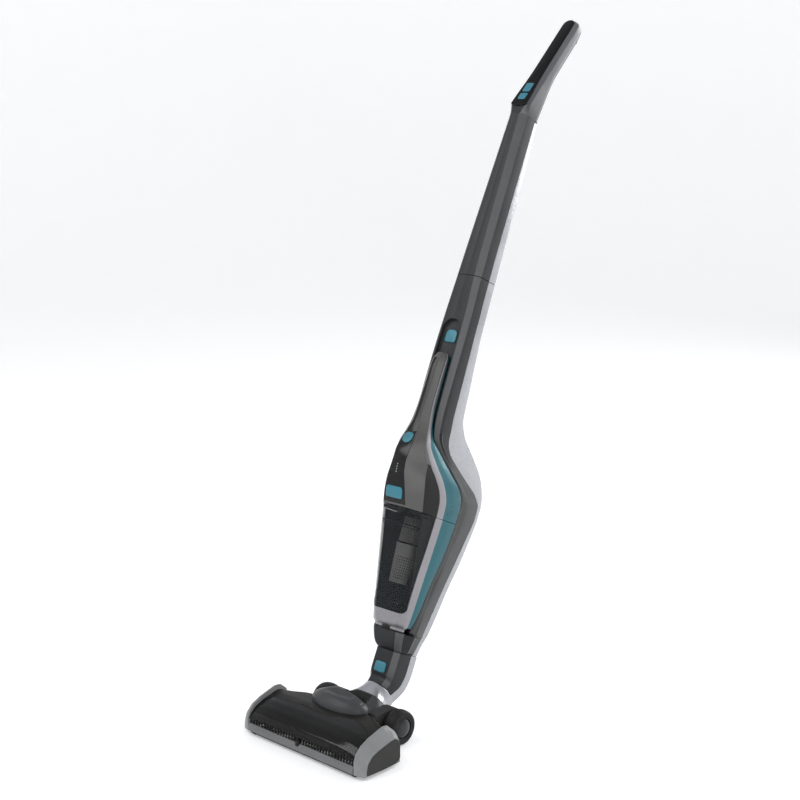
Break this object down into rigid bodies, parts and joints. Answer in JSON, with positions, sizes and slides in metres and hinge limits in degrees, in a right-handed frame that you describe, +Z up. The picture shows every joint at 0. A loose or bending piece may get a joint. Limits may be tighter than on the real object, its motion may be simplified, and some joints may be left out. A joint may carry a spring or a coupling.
{
  "type": "cordless stick vacuum",
  "caption": "Cordless stick vacuum leaning back, with a wide powered floor head on wheels, a swivelling neck and a hand vacuum docked in the stick.",
  "frame": {"origin": "centre of the bounding box at the floor that the wheels and rollers stand on", "axes": "+X to the right end of the floor head, -Y forwards, +Z up; the stick leans back towards +Y"},
  "size_m": [0.26, 0.6366, 1.0634],
  "materials": {
    "gunmetal": "satin metallic moulded",
    "silver": "satin silver paint on moulded plastic",
    "trim_silver": "satin warm silver paint",
    "handle_grey": "satin grey metallic paint",
    "body_grey": "satin grey",
    "panel_black": "gloss black",
    "grip_black": "fine textured black",
    "teal": "deep metallic teal",
    "button_teal": "satin teal",
    "smoke": "smoked clear",
    "window": "dark tinted clear",
    "head_black": "satin black",
    "cap_grey": "satin mid grey",
    "insert_grey": "fine textured dark grey",
    "dome_grey": "satin graphite",
    "dark_plastic": "moulded black",
    "tyre": "soft black",
    "hub": "gloss graphite",
    "rubber": "soft black",
    "steel": "bright",
    "bronze": "sintered",
    "bristle": "nylon bristle",
    "brush_red": "moulded",
    "filter_white": "pleated felt",
    "mesh": "perforated grey plastic",
    "cell": "shrink sleeve",
    "board": "solder mask",
    "light": "clear white"
  },
  "bodies": {
    "stick": {"neck_shell": "gunmetal", "neck_spine": "silver", "lower_chassis": "gunmetal", "lower_spine": "silver", "upper_tube": "gunmetal", "upper_spine": "silver", "handle_shell": "handle_grey", "grip_plate": "grip_black", "wall_bumper": "rubber", "charge_socket": "dark_plastic", "dock_seal": "rubber"},
    "yoke": {"yoke": "silver"},
    "head": {"sole_plate": "dark_plastic", "head_cover": "head_black", "brush_window": "window", "front_strip": "cap_grey", "end_cap_left": "cap_grey", "end_cap_right": "cap_grey", "side_insert_left": "insert_grey", "side_insert_right": "insert_grey", "swivel_dome": "dome_grey", "pivot_carrier": "insert_grey", "pivot_tube": "steel", "wheel_axles": "steel", "roller_pins": "steel", "brush_bearings": "bronze", "brush_motor": "steel", "drive_belt": "rubber", "sole_screws": "steel", "joint_hose": "rubber"},
    "wheel_left": {"wheel_left": "tyre", "hub_cap_left": "hub"},
    "wheel_right": {"wheel_right": "tyre", "hub_cap_right": "hub"},
    "roller_left": {"roller_left": "tyre"},
    "roller_right": {"roller_right": "tyre"},
    "brush": {"brush_core": "brush_red", "brush_bristles": "bristle"},
    "brush_drive": {"motor_pulley": "bronze"},
    "hand_vac": {"vac_shell": "body_grey", "front_panel": "panel_black", "upper_trim": "trim_silver", "upper_band": "teal", "nose_frame": "trim_silver", "lower_band": "teal", "dust_bowl": "smoke", "mesh_screen": "mesh", "filter": "filter_white", "vac_motor": "steel", "battery_cells": "cell", "circuit_board": "board", "led_lenses": "light"},
    "fan": {"fan": "dark_plastic"},
    "inlet_flap": {"inlet_flap": "rubber"},
    "power_switch": {"power_switch": "button_teal"},
    "bowl_release": {"bowl_release": "button_teal"},
    "power_button": {"power_button": "button_teal"},
    "boost_button": {"boost_button": "button_teal"},
    "stick_release": {"stick_release": "button_teal"},
    "head_release": {"head_release": "button_teal"}
  },
  "joints": [
    {"name": "neck_swivel", "type": "hinge", "parent": "stick", "child": "yoke", "pos_m": [0, -0.18499, 0.0265], "axis": [0, 0.8771, 0.4802], "range_deg": [-60, 60]},
    {"name": "head_pitch", "type": "hinge", "parent": "yoke", "child": "head", "pos_m": [0, -0.18499, 0.0265], "axis": [1, 0, 0], "range_deg": [-24.5, 25]},
    {"name": "wheel_left_spin", "type": "hinge", "parent": "head", "child": "wheel_left", "pos_m": [-0.077, -0.18499, 0.0265], "axis": [1, 0, 0], "continuous": true},
    {"name": "wheel_right_spin", "type": "hinge", "parent": "head", "child": "wheel_right", "pos_m": [0.077, -0.18499, 0.0265], "axis": [1, 0, 0], "continuous": true},
    {"name": "roller_left_spin", "type": "hinge", "parent": "head", "child": "roller_left", "pos_m": [-0.106, -0.30829, 0.005], "axis": [1, 0, 0], "continuous": true},
    {"name": "roller_right_spin", "type": "hinge", "parent": "head", "child": "roller_right", "pos_m": [0.106, -0.30829, 0.005], "axis": [1, 0, 0], "continuous": true},
    {"name": "brush_spin", "type": "hinge", "parent": "head", "child": "brush", "pos_m": [0, -0.28829, 0.022], "axis": [1, 0, 0], "continuous": true},
    {"name": "brush_motor_spin", "type": "hinge", "parent": "head", "child": "brush_drive", "pos_m": [0.1, -0.24829, 0.024], "axis": [1, 0, 0], "continuous": true},
    {"name": "hand_vac_tilt", "type": "hinge", "parent": "stick", "child": "hand_vac", "pos_m": [0, -0.13521, 0.15503], "axis": [1, 0, 0], "range_deg": [0, 30]},
    {"name": "fan_spin", "type": "hinge", "parent": "hand_vac", "child": "fan", "pos_m": [0, -0.05775, 0.32018], "axis": [0, 0.4147, 0.91], "continuous": true},
    {"name": "inlet_flap_hinge", "type": "hinge", "parent": "hand_vac", "child": "inlet_flap", "pos_m": [0, -0.09378, 0.17505], "axis": [1, 0, 0], "range_deg": [-60, 0], "stiffness_Nm_per_rad": 0.002, "springref_deg": 11.46},
    {"name": "power_switch_slide", "type": "slide", "parent": "hand_vac", "child": "power_switch", "axis": [0, 0.7009, 0.7133], "range_m": [0, 0.007]},
    {"name": "bowl_release_press", "type": "slide", "parent": "hand_vac", "child": "bowl_release", "axis": [0, 0.9969, -0.0785], "range_m": [0, 0.0018], "stiffness_N_per_m": 900, "springref_m": -0.0006},
    {"name": "power_button_press", "type": "slide", "parent": "stick", "child": "power_button", "axis": [0, 0.7034, -0.7108], "range_m": [0, 0.0018], "stiffness_N_per_m": 900, "springref_m": -0.0006},
    {"name": "boost_button_press", "type": "slide", "parent": "stick", "child": "boost_button", "axis": [0, 0.7034, -0.7108], "range_m": [0, 0.0018], "stiffness_N_per_m": 900, "springref_m": -0.0006},
    {"name": "stick_release_press", "type": "slide", "parent": "stick", "child": "stick_release", "axis": [0, 0.91, -0.4147], "range_m": [0, 0.0018], "stiffness_N_per_m": 900, "springref_m": -0.0006},
    {"name": "head_release_press", "type": "slide", "parent": "stick", "child": "head_release", "axis": [0, 0.91, -0.4147], "range_m": [0, 0.0018], "stiffness_N_per_m": 900, "springref_m": -0.0006}
  ],
  "couplings": [
    {"joint": "brush_motor_spin", "follows": "brush_spin", "ratio": 1.6}
  ]
}
